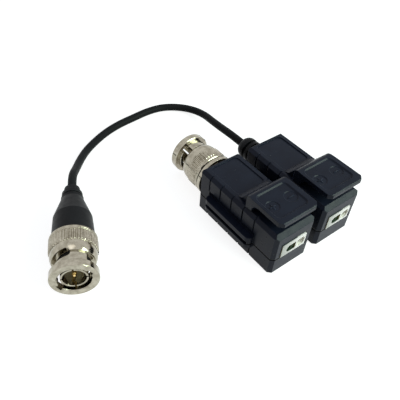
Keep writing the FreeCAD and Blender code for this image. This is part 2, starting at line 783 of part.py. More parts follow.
def terminal_block(unit, unit_x):
    body = new_body(unit + "_terminal_block", unit_place(unit_x))
    half = s.terminal_body_width / 2
    rear = s.side_wall + s.terminal_depth
    box(body, "Additive", "block", (-half, half), (s.side_wall, rear), (s.floor_wall, s.terminal_top))
    sketch = new_sketch(body, "XZ", "nose_outline", -s.side_wall)
    nose = s.terminal_width / 2 - s.terminal_play
    low = s.terminal_bottom
    high = s.terminal_bottom + s.terminal_height
    draw(sketch, [(-nose, low), (nose, low), (nose, high - s.terminal_corner),
                  (nose - s.terminal_corner, high), (-nose, high)], {2: (s.terminal_corner, 1)})
    extrude(body, "Pad", sketch, "nose", s.side_wall + s.terminal_stand_out)
    entry = -s.terminal_stand_out
    sketch = new_sketch(body, "XZ", "lead_in_minus_outline", -entry)
    tall = s.wire_hole_radius + s.lead_in_margin
    draw_rounded(sketch, s.divider_place + s.divider_width / 2, nose - s.lead_in_side,
                 s.wire_height - tall, s.wire_height + tall, s.lead_in_corner)
    extrude(body, "Pocket", sketch, "lead_in_minus", s.lead_in_depth * 2, True)
    round_part = s.wire_hole_radius + s.lead_in_round
    rod(body, "Subtractive", "lead_in_plus_end", "XZ", (s.plus_pole, s.wire_height), round_part,
        -entry - s.lead_in_depth, s.lead_in_depth + 1)
    box(body, "Subtractive", "lead_in_plus", (s.plus_pole, s.divider_place - s.divider_width / 2),
        (entry - 1, entry + s.lead_in_depth), (s.wire_height - round_part, s.wire_height + round_part))
    for name, pole in POLES:
        room = s.chamber_width / 2
        rod(body, "Subtractive", name + "_wire_hole", "XZ", (pole, s.wire_height),
            s.wire_hole_radius, -s.chamber_front, s.chamber_front + s.terminal_stand_out + 1)
        box(body, "Subtractive", name + "_chamber", (pole - room, pole + room),
            (s.chamber_front, s.chamber_rear), (s.chamber_floor, s.terminal_top + 1))
        box(body, "Subtractive", name + "_slot",
            (pole - s.strip_width / 2 - 0.1, pole + s.strip_width / 2 + 0.1),
            (s.chamber_rear - 1, rear + 1),
            (s.chamber_floor, s.chamber_floor + s.contact_thickness + 0.1))


def clamp_strip(unit, unit_x, name, pole):
    """A bent steel strip: its foot stands on the contact and its free end reaches over the wire."""
    x, y, z = unit_place(unit_x)
    body = new_body("%s_%s_clamp" % (unit, name), (x + pole, y, z))
    foot = s.chamber_floor + s.contact_thickness
    rear = s.chamber_rear - 0.6
    thick = s.strip_thickness
    bend = s.strip_bend
    top = s.clamp_top
    tip_y = s.chamber_front + 1.2
    tip_z = foot + 0.5
    crown = s.plunger_place - 1.4
    inner = rear - thick
    sketch = new_sketch(body, "YZ", "strip_outline")
    draw(sketch, [(rear, foot), (rear, top - bend), (rear - bend, top), (crown, top),
                  (tip_y, tip_z), (tip_y + thick * 1.2, tip_z), (crown + thick * 0.6, top - thick),
                  (rear - bend, top - thick), (inner, top - bend), (inner, foot + thick),
                  (rear - 2.4, foot + thick), (rear - 2.4, foot)],
         {1: (bend, 1), 7: (bend - thick, -1)})
    extrude(body, "Pad", sketch, "strip", s.strip_width, True)


def contact_strip(unit, unit_x, name, pole):
    """A flat strip from under the clamp, out of the block and down to the board."""
    x, y, z = unit_place(unit_x)
    body = new_body("%s_%s_contact" % (unit, name), (x + pole, y, z))
    low = s.chamber_floor
    high = low + s.contact_thickness
    leg = board_front + s.board_gap * 2
    foot_end = leg + s.contact_foot
    sketch = new_sketch(body, "YZ", "strip_outline")
    draw(sketch, [(s.chamber_front + 0.2, low), (leg, low), (leg, board_top),
                  (foot_end, board_top), (foot_end, board_top + s.contact_thickness),
                  (leg + s.contact_thickness, board_top + s.contact_thickness),
                  (leg + s.contact_thickness, high), (s.chamber_front + 0.2, high)])
    extrude(body, "Pad", sketch, "strip", s.strip_width, True)


# Board and its parts

def circuit_board(unit, unit_x):
    body = new_body(unit + "_circuit_board", unit_place(unit_x))
    half = s.board_width / 2
    box(body, "Additive", "board", (-half, half), (board_front, board_rear),
        (s.board_height, board_top))


def balun_core(unit, unit_x):
    """The ferrite ring, flat on the board, with the copper wound round two of its sides."""
    x, y, z = unit_place(unit_x)
    place = (x, y + s.core_place, board_top + s.winding_thickness)
    core = new_body(unit + "_balun_core", place)
    sketch = new_sketch(core, "XZ", "section")
    draw_rectangle(sketch, s.core_inner_radius, s.core_outer_radius, Size(0, "0"), s.core_height)
    spin(core, "Revolution", sketch, "ring")

    winding = new_body(unit + "_balun_winding", place)
    sketch = new_sketch(winding, "XZ", "section")
    grow = s.winding_thickness
    draw_rectangle(sketch, s.core_inner_radius - grow, s.core_outer_radius + grow, -grow,
                   s.core_height + grow)
    spin(winding, "Revolution", sketch, "coil")
    play = s.core_seat_play
    sketch = new_sketch(winding, "XZ", "core_space")
    draw_rectangle(sketch, s.core_inner_radius - play, s.core_outer_radius + play, -play,
                   s.core_height + play)
    spin(winding, "Groove", sketch, "core_room")


def board_chips(unit, unit_x):
    for name, place_x, place_y in (("surge_suppressor", -4.0, 15.6), ("coupling_capacitor", -4.0, 27.6)):
        x, y, z = unit_place(unit_x)
        body = new_body("%s_%s" % (unit, name), (x + place_x, y + place_y, board_top))
        half_x, half_y = s.chip_width / 2, s.chip_length / 2
        box(body, "Additive", "chip", (-half_x, half_x), (-half_y, half_y), (Size(0, "0"), s.chip_height))


def lead_wire(unit, unit_x, name, offset_x, start):
    """A round wire that leaves the connector or cable level and bends down to the board."""
    x, y, z = unit_place(unit_x)
    body = new_body("%s_%s_lead" % (unit, name), (x + offset_x, y, z))
    foot = board_rear - s.lead_foot_margin
    path = new_sketch(body, "YZ", "path")
    draw(path, [(start, s.axis_height), (foot + s.lead_bend, s.axis_height),
                (foot, s.axis_height - s.lead_bend), (foot, board_top)], {1: (s.lead_bend, 1)}, False)
    profile = new_sketch(body, "XZ", "wire_section", -start)
    draw_circle(profile, Size(0, "0"), s.axis_height, s.lead_radius)
    pipe = body.newObject("PartDesign::AdditivePipe", "wire")
    pipe.Profile = profile
    pipe.Spine = (path, ["Edge1", "Edge2", "Edge3"])


# Bayonet connector, drawn with its front at the origin and its body towards -Y

def revolve_part(label, place, turn, outline, arcs=None):
    body = new_body(label, place, turn)
    sketch = new_sketch(body, "XY", "section")
    draw(sketch, [(radius, -depth) for radius, depth in outline], arcs)
    spin(body, "Revolution", sketch, "turned")
    return body


def coupling_nut(label, place, turn):
    zero = Size(0, "0")
    edge = 0.3
    step = s.shoulder_end + 0.4
    body = revolve_part(label, place, turn, [
        (s.nut_bore + edge, zero), (s.ring_radius - edge, zero), (s.ring_radius, zero + edge),
        (s.ring_radius, s.ring_length - edge), (s.ring_radius - edge, s.ring_length),
        (s.neck_radius, s.ring_length), (s.neck_radius, s.neck_end),
        (s.shoulder_radius - edge * 2, s.neck_end), (s.shoulder_radius, s.neck_end + edge * 2),
        (s.shoulder_radius, s.shoulder_end), (s.shoulder_radius - edge, step),
        (s.knurl_radius - edge, step), (s.knurl_radius, step + edge),
        (s.knurl_radius, s.knurl_end - edge), (s.knurl_radius - edge, s.knurl_end),
        (s.nut_rim_radius, s.knurl_end), (s.nut_rim_radius, s.nut_length),
        (nut_flange_hole, s.nut_length), (nut_flange_hole, s.nut_flange_depth),
        (s.chamber_radius, s.nut_flange_depth), (s.chamber_radius, s.chamber_depth),
        (s.nut_bore, s.chamber_depth), (s.nut_bore, zero + edge)])

    entry = box(body, "Subtractive", "entry_notch", (zero, s.entry_radius),
                (-s.ring_length - 1, zero + 1), (-s.entry_width / 2, s.entry_width / 2))
    pattern_round(body, [entry], "entry_notches", CAM_COUNT)
    cam_slots(body)

    sketch = new_sketch(body, "XZ", "knurl_outline", (step + s.knurl_end) / 2)
    notch = s.knurl_depth * 1.1
    draw(sketch, [(s.knurl_radius - s.knurl_depth, zero), (s.knurl_radius + 0.2, -notch),
                  (s.knurl_radius + 0.2, notch)])
    groove = extrude(body, "Pocket", sketch, "knurl_groove", s.knurl_end - step + 1, True)
    pattern_round(body, [groove], "knurl", KNURL_COUNT)


def cam_slots(body):
    """Curved slots through the neck, which draw the mating lugs in as the nut turns."""
    sketch = new_sketch(body, "XY", "cam_section")
    middle = s.cam_start + s.cam_width / 2
    draw_rectangle(sketch, s.nut_bore - 0.5, s.neck_radius + 0.5, -middle - s.cam_width / 2,
                   -middle + s.cam_width / 2)
    slot = body.newObject("PartDesign::SubtractiveHelix", "cam_slot")
    slot.Profile = sketch
    slot.ReferenceAxis = (sketch, ["V_Axis"])
    slot.Mode = "pitch-height-angle"
    bind(slot, "Pitch", s.cam_pitch)
    bind(slot, "Height", s.cam_rise)
    slot.Reversed = True
    pattern_round(body, [slot], "cams", CAM_COUNT)


def connector_front(label, place, turn, tail):
    """The fixed metal body. The tail is the outline behind the thrust flange, by connector."""
    body = revolve_part(label, place, turn, [
        (s.sleeve_inner, s.sleeve_front), (s.sleeve_outer, s.sleeve_front),
        (s.sleeve_outer, s.gasket_end), (s.barrel_radius - 0.1, s.gasket_end),
        (s.barrel_radius - 0.1, s.thrust_depth), (s.thrust_radius, s.thrust_depth),
        (s.thrust_radius, s.thrust_depth + s.thrust_thickness),
        (s.barrel_radius, s.thrust_depth + s.thrust_thickness)] + tail + [
        (s.insulator_radius + s.core_seat_play, tail[-1][1]),
        (s.insulator_radius + s.core_seat_play, s.socket_depth),
        (s.sleeve_inner, s.socket_depth)])
    slit = box(body, "Subtractive", "sleeve_slit", (s.sleeve_inner - 1, s.sleeve_outer + 1),
               (-s.sleeve_slit_end, -s.sleeve_front + 1), (-s.sleeve_slit / 2, s.sleeve_slit / 2))
    pattern_round(body, [slit], "sleeve_slits", SLIT_COUNT)


def connector_inside(prefix, place, turn, end):
    """Insulator, pin, gasket and dished washer, shared by both connectors."""
    zero = Size(0, "0")
    revolve_part(prefix + "_insulator", place, turn, [
        (s.pin_radius + s.core_seat_play, s.socket_depth + 0.1),
        (s.insulator_radius, s.socket_depth + 0.1), (s.insulator_radius, end),
        (s.pin_tail_radius + s.core_seat_play, end),
        (s.pin_tail_radius + s.core_seat_play, s.socket_depth + 3),
        (s.pin_radius + s.core_seat_play, s.socket_depth + 3)])
    revolve_part(prefix + "_centre_pin", place, turn, [
        (zero, s.pin_front), (s.pin_radius * 0.5, s.pin_front),
        (s.pin_radius, s.pin_front + s.pin_radius), (s.pin_radius, s.socket_depth + 3),
        (s.pin_tail_radius, s.socket_depth + 3), (s.pin_tail_radius, end + 1), (zero, end + 1)])
    revolve_part(prefix + "_gasket", place, turn, [
        (s.sleeve_outer, s.gasket_front), (s.nut_bore - 0.3, s.gasket_front),
        (s.nut_bore - 0.3, s.gasket_end), (s.sleeve_outer, s.gasket_end)])
    washer = s.thrust_depth + s.thrust_thickness
    revolve_part(prefix + "_spring_washer", place, turn, [
        (s.barrel_radius + 0.1, washer), (s.chamber_radius - 0.2, washer + s.washer_dish),
        (s.chamber_radius - 0.2, washer + s.washer_dish + s.washer_thickness),
        (s.barrel_radius + 0.1, washer + s.washer_thickness)])


def near_connector(unit_x):
    place = (unit_x, axis_tip - pair_shift_y, s.axis_height)
    face = s.connector_reach
    end = face + s.side_wall + s.shank_length - s.side_wall
    connector_front("near_connector_body", place, None, [
        (s.barrel_radius, s.nut_length + 0.3), (s.collar_groove_radius, s.nut_length + 0.3),
        (s.collar_groove_radius, face - s.collar_thickness), (s.collar_radius - 0.5, face - s.collar_thickness),
        (s.collar_radius, face - s.collar_thickness + 0.5), (s.collar_radius, face),
        (s.shank_radius, face), (s.shank_radius, end)])
    coupling_nut("near_coupling_nut", place, None)
    connector_inside("near", place, None, end)

    nut = new_body("near_lock_nut", (unit_x, inner_rear - pair_shift_y, s.axis_height))
    sketch = new_sketch(nut, "XZ", "hexagon")
    across = s.lock_nut_flats / math.sqrt(3)
    corners = []
    for step in range(6):
        angle = math.radians(60 * step)
        corners.append((across * math.cos(angle), across * math.sin(angle)))
    draw(sketch, corners)
    draw_circle(sketch, Size(0, "0"), Size(0, "0"), s.shank_radius)
    extrude(nut, "Pad", sketch, "nut", s.lock_nut_thickness)


def cable_plug():
    place = (s.plug_front_x, s.plug_front_y, s.knurl_radius)
    turn = s.plug_turn
    connector_front("plug_body", place, turn, [
        (s.barrel_radius, s.nut_length + 0.3), (s.crimp_radius, s.nut_length + 0.3),
        (s.crimp_radius, s.crimp_end)])
    coupling_nut("plug_coupling_nut", place, turn)
    connector_inside("plug", place, turn, s.crimp_end - 2)

    cavity = s.crimp_radius
    start = s.nut_length + 0.35
    groove = s.boot_cone_radius - 0.6
    revolve_part("plug_boot", place, turn, [
        (cavity, start), (s.boot_radius - 0.2, start), (s.boot_radius, start + 0.2),
        (s.boot_rear_radius, s.boot_straight_end), (s.boot_cone_radius, s.boot_cone_end),
        (s.boot_cone_radius, s.boot_cone_end + 1), (groove, s.boot_cone_end + 1),
        (groove, s.boot_cone_end + 1.7), (s.boot_cone_radius - 0.2, s.boot_cone_end + 1.7),
        (s.boot_cone_radius - 0.3, s.boot_cone_end + 3.2), (s.boot_tail_radius + 0.2, s.boot_cone_end + 3.2),
        (s.boot_tail_radius, s.boot_end), (Size(0, "0"), s.boot_end), (Size(0, "0"), s.crimp_end),
        (cavity, s.crimp_end)])


# Strain relief and cord

def gland(unit_x):
    """Moulded strain relief: a flange inside the wall, a neck, rings around it and a domed end."""
    place = (unit_x, s.housing_length - pair_shift_y, s.gland_height)
    inside = s.side_wall + s.moulding_play
    outline = [(Size(0, "0"), inside + s.gland_flange), (s.gland_flange_radius, inside + s.gland_flange),
               (s.gland_flange_radius, inside), (s.gland_neck_radius, inside),
               (s.gland_neck_radius, -s.moulding_play)]
    for number in range(GLAND_RINGS):
        start = -s.moulding_play - s.gland_ring_pitch * number
        outline += [(s.gland_ring_radius, start), (s.gland_ring_radius, start - s.gland_ring)]
        if number < GLAND_RINGS - 1:
            outline += [(s.gland_groove_radius, start - s.gland_ring),
                        (s.gland_groove_radius, start - s.gland_ring_pitch)]
    dome = len(outline) - 1
    outline += [(s.gland_tail_radius, -s.gland_reach), (Size(0, "0"), -s.gland_reach)]
    revolve_part("far_gland", place, None, outline, {dome: (s.gland_dome_radius, 1)})


def cord_path(points):
    """Straight runs joined by arcs as large as the runs allow. Returns the wire and the radii."""
    spots = [Vector(*point) for point in points]
    edges = []
    radii = []
    last = spots[0]
    for before, corner, after in zip(spots, spots[1:], spots[2:]):
        run_in = corner - before
        run_out = after - corner
        turn = run_in.getAngle(run_out)
        cut = 0.45 * min(run_in.Length, run_out.Length)
        radii.append(cut / math.tan(turn / 2))
        start = corner - Vector(run_in).normalize() * cut
        finish = corner + Vector(run_out).normalize() * cut
        inward = (Vector(run_out).normalize() - Vector(run_in).normalize()).normalize()
        middle = corner + inward * (radii[-1] / math.cos(turn / 2) - radii[-1])
        edges.append(Part.LineSegment(last, start).toShape())
        edges.append(Part.Arc(start, middle, finish).toShape())
        last = finish
    edges.append(Part.LineSegment(last, spots[-1]).toShape())
    return Part.Wire(edges), radii


def cord():
    item = doc.addObject("Part::Feature", "cord")
    item.Label = "cord"
    radius = s.cord_diameter.value / 2
    start = (value_of(UNITS[1][1]), value_of(s.housing_length + s.gland_reach - pair_shift_y),
             s.gland_height.value)
    angle = math.radians(s.plug_turn.value)
    away = Vector(math.sin(angle), -math.cos(angle), 0)
    front = Vector(s.plug_front_x.value, s.plug_front_y.value, s.knurl_radius.value)
    finish = front + away * s.boot_end.value
    first = Vector(*start) + Vector(0, s.cord_first_run.value, 0)
    last = finish + away * s.cord_last_run.value
    route = [start, tuple(first)] + CORD_MIDDLE + [tuple(last), tuple(finish)]
    wire, radii = cord_path(route)
    section = Part.Circle(Vector(*route[0]), Vector(*route[1]) - Vector(*route[0]), radius).toShape()
    item.Shape = wire.makePipeShell([Part.Wire([section])], True, False)
    SUBPARTS.append(item)
    expected = math.pi * radius * radius * wire.Length
    print("cord length %.1f mm, volume %.1f of %.1f expected" % (wire.Length, item.Shape.Volume, expected))
    print("cord radii", " ".join("%.1f" % value for value in radii))
    print("cord points", " ".join("(%.2f, %.2f, %.2f)" % tuple(point) for point in route))


def build():
    for unit, unit_x in UNITS:
        upper_housing(unit, unit_x)
        lower_housing(unit, unit_x)
        press_lever(unit, unit_x)
        terminal_block(unit, unit_x)
        for name, pole in POLES:
            clamp_strip(unit, unit_x, name, pole)
            contact_strip(unit, unit_x, name, pole)
        circuit_board(unit, unit_x)
        balun_core(unit, unit_x)
        board_chips(unit, unit_x)
    near_x, far_x = UNITS[0][1], UNITS[1][1]
    lead_wire("near", near_x, "signal", Size(0, "0"), s.housing_length - s.shank_length - 1)
    lead_wire("near", near_x, "ground", s.shank_radius - 0.8, s.housing_length - s.shank_length)
    gland_inside = s.housing_length - s.side_wall - s.moulding_play - s.gland_flange
    lead_wire("far", far_x, "signal", -s.lead_radius * 3, gland_inside)
    lead_wire("far", far_x, "ground", s.lead_radius * 3, gland_inside)
    near_connector(near_x)
    cable_plug()
    gland(far_x)


def check_and_export():
    """Stop on any failed object, then write one file for each sub-part."""
    failed = [item.Name for item in doc.Objects if "Invalid" in item.State or "Error" in item.State]
    broken = [item.Label for item in SUBPARTS
              if item.Shape.isNull() or not item.Shape.isValid() or not item.Shape.Solids]
    if failed or broken:
        raise RuntimeError("failed: %s; broken: %s" % (failed, broken))
    os.makedirs("parts", exist_ok=True)
    for item in SUBPARTS:
        item.Shape.exportStep(os.path.join("parts", item.Label + ".step"))
    print(len(SUBPARTS), "sub-parts written")


build()
doc.recompute()
cord()
doc.recompute()
check_and_export()
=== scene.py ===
"""Looks of the two joined video baluns: finishes, camera, cord, connectors, levers and light."""
import json
import math

import bmesh
import bpy
from mathutils import Matrix, Vector

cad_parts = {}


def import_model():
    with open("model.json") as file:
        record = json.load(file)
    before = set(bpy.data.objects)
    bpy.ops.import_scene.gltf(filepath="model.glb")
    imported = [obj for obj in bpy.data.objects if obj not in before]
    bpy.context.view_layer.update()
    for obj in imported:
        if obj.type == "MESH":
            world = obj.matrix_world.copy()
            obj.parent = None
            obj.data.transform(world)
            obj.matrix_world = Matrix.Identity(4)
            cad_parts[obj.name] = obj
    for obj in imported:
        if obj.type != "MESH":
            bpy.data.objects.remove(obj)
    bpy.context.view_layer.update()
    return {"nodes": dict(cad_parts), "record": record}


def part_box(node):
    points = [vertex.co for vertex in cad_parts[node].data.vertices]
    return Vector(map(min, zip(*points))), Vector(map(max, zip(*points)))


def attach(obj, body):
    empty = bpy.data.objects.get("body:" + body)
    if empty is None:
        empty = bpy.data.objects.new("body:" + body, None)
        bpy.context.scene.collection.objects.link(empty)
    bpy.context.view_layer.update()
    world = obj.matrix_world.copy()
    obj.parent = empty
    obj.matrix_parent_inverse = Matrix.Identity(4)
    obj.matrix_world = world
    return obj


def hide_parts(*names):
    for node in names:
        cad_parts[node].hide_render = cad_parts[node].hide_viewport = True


MM = 0.001
UNITS = ("near", "far")
UNIT_PITCH = 20.3
# Middle of the near unit, front of its terminal block, middle of the divider between its two wells
# and height at which the shells meet, in millimetres.
NEAR_UNIT = -10.925
TERMINAL_FRONT = -27.375
DIVIDER = 1.15
PARTING_HEIGHT = 6.5

# The camera, fitted to the photograph. Angles are in degrees, and the place is in millimetres.
CAMERA_PLACE = (-95.02, -80.0, 121.84)
CAMERA_AZIMUTH = -38.92
CAMERA_ELEVATION = 45.28
CAMERA_ROLL = 3.35
PHOTO_WIDTH = 400
FOCAL_PIXELS = 478.46
PICTURE_CENTRE = (190.29, 197.56)
SENSOR_WIDTH = 36

CORD_DIAMETER = 3.0
# The cord's middle line in millimetres, from the gland to the boot, as in the part's source.
CORD_POINTS = [
    (9.375, 19.575, 8.0),
    (9.375, 25.575, 8.0),
    (10.26, 33.6, 6.47),
    (11.37, 40.48, 5.03),
    (12.79, 47.32, 3.41),
    (11.98, 54.16, 2.27),
    (8.32, 60.03, 1.63),
    (2.47, 63.8, 1.5),
    (-4.55, 64.73, 1.5),
    (-11.63, 64.08, 1.5),
    (-18.7, 63.51, 1.5),
    (-25.6, 61.93, 1.5),
    (-32.15, 59.23, 1.5),
    (-38.27, 55.71, 1.69),
    (-43.27, 50.83, 2.79),
    (-47.54, 45.41, 4.51),
    (-51.77, 39.51, 7.45),
    (-54.64, 33.57, 7.45),
]


# Node helpers

class Nodes:
    """Shorthand calls for the nodes of one tree."""

    def __init__(self, tree):
        self.tree = tree

    def node(self, kind, **inputs):
        item = self.tree.nodes.new(kind)
        for name, value in inputs.items():
            self.feed(item.inputs[name.replace("_", " ")], value)
        return item

    def feed(self, socket, value):
        if isinstance(value, bpy.types.NodeSocket):
            self.tree.links.new(value, socket)
        else:
            socket.default_value = value

    def ramp(self, value, low, high, start, end, interpolation="LINEAR"):
        """The value, read from low to high, turned into start to end."""
        item = self.node("ShaderNodeMapRange", Value=value, From_Min=low, From_Max=high,
                         To_Min=start, To_Max=end)
        item.interpolation_type = interpolation
        item.clamp = True
        return item.outputs["Result"]

    def blend(self, factor, first, second):
        """A mix of two colours, whose sockets share their names with others and go by number."""
        item = self.tree.nodes.new("ShaderNodeMix")
        item.data_type = "RGBA"
        self.feed(item.inputs["Factor"], factor)
        self.feed(item.inputs[6], first)
        self.feed(item.inputs[7], second)
        return item.outputs[2]

    def maths(self, operation, first, second=0.0):
        item = self.tree.nodes.new("ShaderNodeMath")
        item.operation = operation
        self.feed(item.inputs[0], first)
        self.feed(item.inputs[1], second)
        return item.outputs[0]

    def dot(self, first, second):
        item = self.tree.nodes.new("ShaderNodeVectorMath")
        item.operation = "DOT_PRODUCT"
        self.feed(item.inputs[0], first)
        self.feed(item.inputs[1], second)
        return item.outputs["Value"]

    def show(self, output, plain, white):
        """Show one shader, and the white one to the camera, reflections and transmission."""
        rays = self.node("ShaderNodeLightPath").outputs
        seen = self.maths("MAXIMUM", rays["Is Camera Ray"], rays["Is Glossy Ray"])
        seen = self.maths("MAXIMUM", seen, rays["Is Transmission Ray"])
        both = self.tree.nodes.new("ShaderNodeMixShader")
        for socket, value in zip(both.inputs, (seen, plain, white)):
            self.feed(socket, value)
        self.feed(self.tree.nodes[output].inputs["Surface"], both.outputs[0])


class Finish(Nodes):
    """A material under construction, with its shader."""

    def __init__(self, name):
        self.material = bpy.data.materials.new(name)
        self.material.use_nodes = True
        super().__init__(self.material.node_tree)
        self.shader = self.tree.nodes["Principled BSDF"]
        self.place = self.node("ShaderNodeTexCoord").outputs["Object"]

    def set(self, **inputs):
        for name, value in inputs.items():
            self.feed(self.shader.inputs[name.replace("_", " ")], value)

    def noise(self, size, detail=3.0, roughness=0.55):
        """Noise whose features are about that many millimetres across."""
        item = self.node("ShaderNodeTexNoise", Vector=self.place, Scale=1 / (size * MM),
                         Detail=detail, Roughness=roughness)
        return item.outputs["Fac"]

    def soft_edges(self, radius):
        """The normal with edges rounded by that many millimetres."""
        item = self.node("ShaderNodeBevel", Radius=radius * MM)
        item.samples = 6
        return item.outputs["Normal"]

    def edge_mask(self, rounded):
        """About 1 along the edges and 0 on the faces."""
        plain = self.node("ShaderNodeNewGeometry").outputs["True Normal"]
        return self.ramp(self.dot(rounded, plain), 0.99, 0.8, 0.0, 1.0)

    def bump(self, height, strength, distance, normal=None):
        item = self.node("ShaderNodeBump", Height=height, Strength=strength, Distance=distance * MM)
        if normal is not None:
            self.feed(item.inputs["Normal"], normal)
        return item.outputs["Normal"]


def moulded_plastic(name, dark, light, gloss=(0.27, 0.38), edge=0.16, seam=None):
    """Textured moulding: fine spark-eroded grain, uneven gloss, paler edges and a few specks.

    A seam is the height where two shells meet. A thin line there is painted shade, near black like
    the shadow in the joint.
    """
    f = Finish(name)
    rounded = f.soft_edges(edge)
    # Paler along the edges, in patches.
    pale_edges = f.maths("MULTIPLY", f.edge_mask(rounded), f.ramp(f.noise(1.4), 0.35, 0.7, 0.25, 1.0))
    cloudy = f.ramp(f.noise(5.0), 0.3, 0.7, 0.0, 1.0)
    colour = f.blend(cloudy, dark + (1,), light + (1,))
    pale = tuple(min(1.0, part * 2.1 + 0.006) for part in light)
    colour = f.blend(pale_edges, colour, pale + (1,))
    speck = f.ramp(f.noise(0.55, 1.0, 0.4), 0.79, 0.815, 0.0, 1.0)
    colour = f.blend(f.maths("MULTIPLY", speck, 0.5), colour, (0.25, 0.26, 0.27, 1))
    smear = f.ramp(f.noise(2.6, 4.0, 0.6), 0.3, 0.72, gloss[0], gloss[1])
    f.shader.inputs["Specular IOR Level"].default_value = 0.1
    normal = f.bump(f.noise(0.16, 2.0), 0.16, 0.02, rounded)
    if seam:
        height = f.node("ShaderNodeSeparateXYZ", Vector=f.place).outputs["Z"]
        distance = f.maths("ABSOLUTE", f.maths("SUBTRACT", height, seam * MM))
        away = f.ramp(distance, 0.14 * MM, 0.4 * MM, 0.0, 1.0)
        # Painted shade: near black along the seam, where the joint would be in shadow.
        colour = f.blend(away, (0.0005, 0.0005, 0.0005, 1), colour)
        smear = f.maths("MAXIMUM", smear, f.maths("SUBTRACT", 1.0, away))
        normal = f.bump(away, 1.0, 0.25, normal)
    f.set(Base_Color=colour, Roughness=smear, Normal=normal)
    return f.material


def terminal_plastic(name):
    """Off-white nylon with painted shade, greyer towards the plus pole, dark green in the plus well
    and yellow on its left-facing sides; painted light keeps the minus well pale.
    """
    grey, white, cloud = (0.34, 0.32, 0.32, 1), (0.76, 0.69, 0.73, 1), (0.58, 0.54, 0.56, 1)
    plus_well_shade, minus_well_light = (0.018, 0.036, 0.018, 1), (0.74, 0.7, 0.66, 1)
    yellow = (0.36, 0.3, 0.13, 1)
    f = Finish(name)
    place = f.node("ShaderNodeSeparateXYZ", Vector=f.place).outputs
    # Both units share the finish, so the place across is counted from half a pitch left of each.
    half = UNIT_PITCH / 2
    shifted = f.maths("ADD", place["X"], (half - NEAR_UNIT) * MM)
    across = f.maths("FLOORED_MODULO", shifted, UNIT_PITCH * MM)
    minus_side = f.ramp(across, (half + DIVIDER - 0.05) * MM, (half + DIVIDER + 0.05) * MM,
                        0.0, 1.0)
    # Painted shade: greyer towards the plus pole, paler to the right.
    painted_shade_across = f.ramp(across, (half - 4.4) * MM, (half + 1.8) * MM, 0.0, 1.0)
    colour = f.blend(painted_shade_across, grey, white)
    colour = f.blend(f.ramp(f.noise(1.6), 0.3, 0.7, 0.0, 0.25), colour, cloud)
    # Inside the wells, painted shade makes the plus well dark green and painted light keeps the
    # minus well pale.
    inside = f.ramp(place["Y"], (TERMINAL_FRONT + 0.06) * MM, (TERMINAL_FRONT + 0.16) * MM,
                    0.0, 1.0)
    colour = f.blend(inside, colour, f.blend(minus_side, plus_well_shade, minus_well_light))
    # Painted shade: faces on the plus side that face left are darker and yellow.
    plain = f.node("ShaderNodeNewGeometry").outputs["True Normal"]
    facing = f.node("ShaderNodeSeparateXYZ", Vector=plain).outputs["X"]
    side_shade = f.maths("MULTIPLY", f.ramp(facing, -0.7, -0.95, 0.0, 0.8),
                       f.maths("SUBTRACT", 1.0, minus_side))
    colour = f.blend(side_shade, colour, yellow)
    f.set(Base_Color=colour, Roughness=f.ramp(f.noise(1.2), 0.3, 0.7, 0.28, 0.4))
    f.set(Normal=f.bump(f.noise(0.25), 0.06, 0.01))
    return f.material


def plated_metal(name, bright, dull, gloss=(0.07, 0.19), edge=0.12):
    """Bright plating with a faint unevenness and cloudy tarnish."""
    f = Finish(name)
    rounded = f.soft_edges(edge)
    tarnish = f.ramp(f.noise(1.8, 4.0), 0.35, 0.72, 0.0, 1.0)
    colour = f.blend(tarnish, bright + (1,), dull + (1,))
    f.set(Base_Color=colour, Roughness=f.ramp(f.noise(0.9, 3.0), 0.3, 0.75, gloss[0], gloss[1]))
    f.shader.inputs["Metallic"].default_value = 1.0
    f.set(Normal=f.bump(f.noise(0.35, 2.0, 0.5), 0.05, 0.02, rounded))
    return f.material


def cord_rubber(name, dark, light, gloss=(0.36, 0.5), shine=0.1):
    """Satin sheath with a faint grain and handling marks."""
    f = Finish(name)
    rounded = f.soft_edges(0.2)
    colour = f.blend(f.ramp(f.noise(4.0), 0.3, 0.7, 0.0, 1.0), dark + (1,), light + (1,))
    f.set(Base_Color=colour, Roughness=f.ramp(f.noise(1.5, 4.0), 0.3, 0.7, gloss[0], gloss[1]))
    f.shader.inputs["Specular IOR Level"].default_value = shine
    f.set(Normal=f.bump(f.noise(0.3), 0.12, 0.02, rounded))
    return f.material


def board_laminate(name):
    """Green solder mask over faint tracks."""
    f = Finish(name)
    track = f.node("ShaderNodeTexBrick", Vector=f.place, Scale=450.0)
    colour = f.blend(f.maths("MULTIPLY", track.outputs["Fac"], 0.6), (0.02, 0.16, 0.06, 1),
                     (0.05, 0.3, 0.12, 1))
    f.set(Base_Color=colour, Roughness=f.ramp(f.noise(1.0), 0.3, 0.7, 0.25, 0.4))
    return f.material


def ceramic(name, colour, gloss=0.5):
    """Fired or moulded material with small speckles."""
    f = Finish(name)
    paler = tuple(min(1.0, part * 1.5 + 0.01) for part in colour)
    speckle = f.ramp(f.noise(0.3), 0.4, 0.65, 0.0, 1.0)
    f.set(Base_Color=f.blend(speckle, colour + (1,), paler + (1,)),
          Roughness=f.ramp(f.noise(0.8), 0.3, 0.7, gloss - 0.08, gloss + 0.08),
          Normal=f.bump(f.noise(0.2), 0.2, 0.02, f.soft_edges(0.1)))
    return f.material


def wound_copper(name):
    """Enamelled wire: round ridges that run down the coil's sides."""
    f = Finish(name)
    wave = f.node("ShaderNodeTexWave", Vector=f.place, Scale=700.0, Distortion=2.0)
    f.set(Base_Color=f.blend(wave.outputs["Fac"], (0.3, 0.08, 0.03, 1), (0.72, 0.3, 0.12, 1)),
          Roughness=f.ramp(f.noise(0.6), 0.3, 0.7, 0.2, 0.32),
          Normal=f.bump(wave.outputs["Fac"], 0.5, 0.1))
    f.shader.inputs["Metallic"].default_value = 0.8
    return f.material


